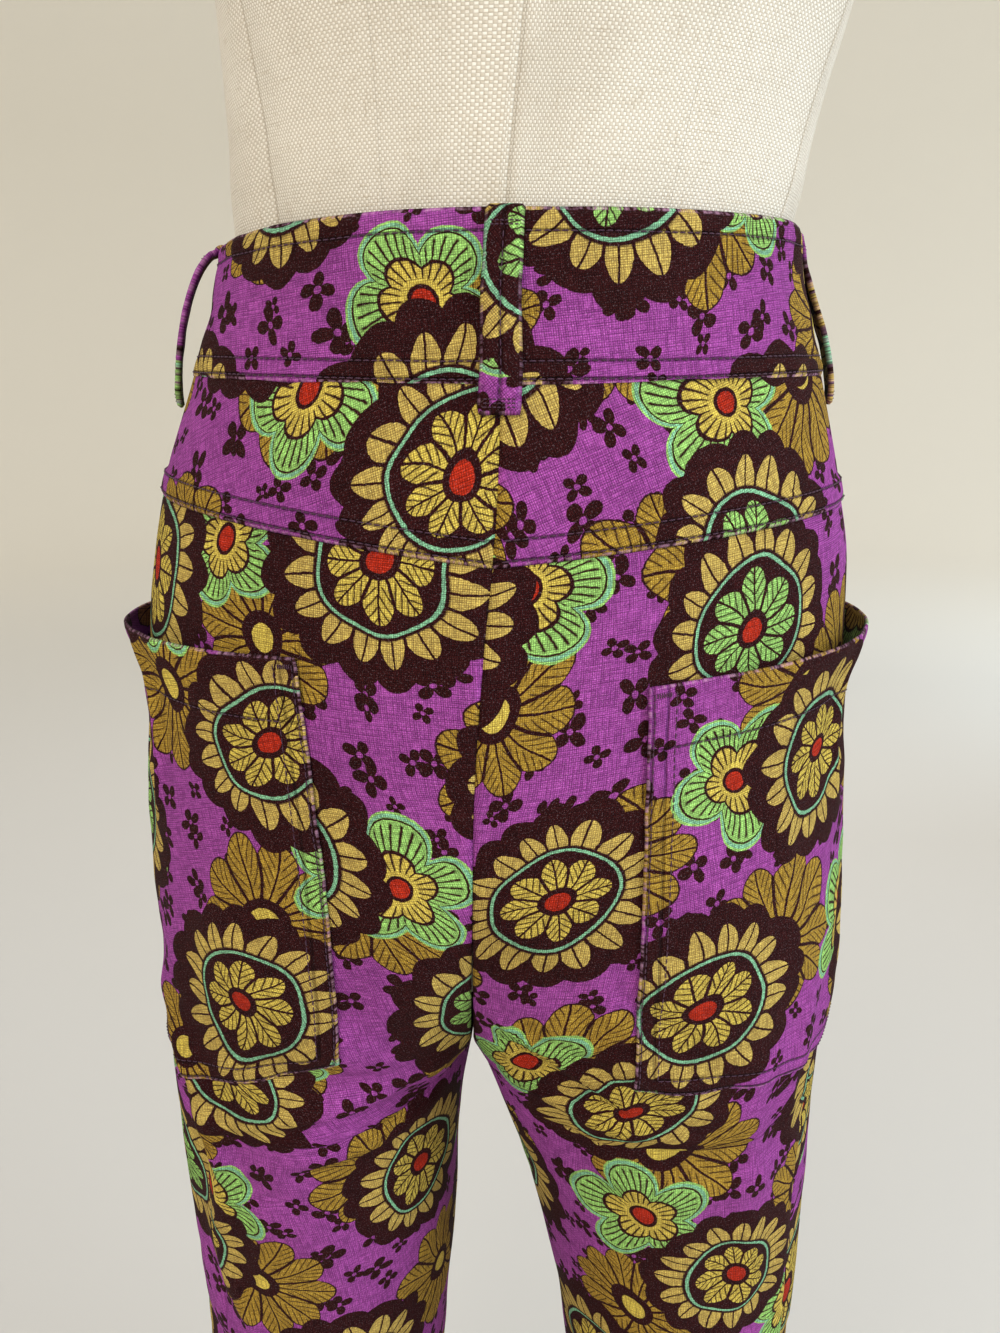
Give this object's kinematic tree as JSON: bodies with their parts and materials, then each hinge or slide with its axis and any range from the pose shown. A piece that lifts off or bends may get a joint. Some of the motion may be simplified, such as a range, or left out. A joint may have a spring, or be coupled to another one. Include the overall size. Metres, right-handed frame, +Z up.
{
  "type": "cropped linen trousers on a dress form",
  "caption": "Cropped linen trousers worn by a limbless dress form: contoured waistband, V back yokes, wrap patch pockets, tapered open legs; form on rod and round base.",
  "frame": {"origin": "on the floor, under the middle of the round base", "axes": "+Z up, +X the wearer's right, the back of the trousers faces -Y"},
  "size_m": [0.39, 0.39, 1.5275],
  "materials": {
    "print_linen": null,
    "button": "satin",
    "canvas": "plain-weave cream cloth",
    "cap_wood": "satin varnish",
    "stand_metal": "satin"
  },
  "bodies": {
    "root": {"waistband": "print_linen", "back_yoke_left": "print_linen", "back_yoke_right": "print_linen", "back_leg_left": "print_linen", "back_leg_right": "print_linen", "front_leg_left": "print_linen", "front_leg_right": "print_linen", "fly": "print_linen", "pocket_left": "print_linen", "pocket_right": "print_linen", "belt_loop_back": "print_linen", "belt_loop_side_left": "print_linen", "belt_loop_side_right": "print_linen", "belt_loop_front_left": "print_linen", "belt_loop_front_right": "print_linen", "waist_button": "button", "form_torso": "canvas", "form_neck_cap": "cap_wood", "form_socket": "stand_metal", "form_rod": "stand_metal", "form_hub": "stand_metal", "form_base": "stand_metal"}
  },
  "joints": []
}
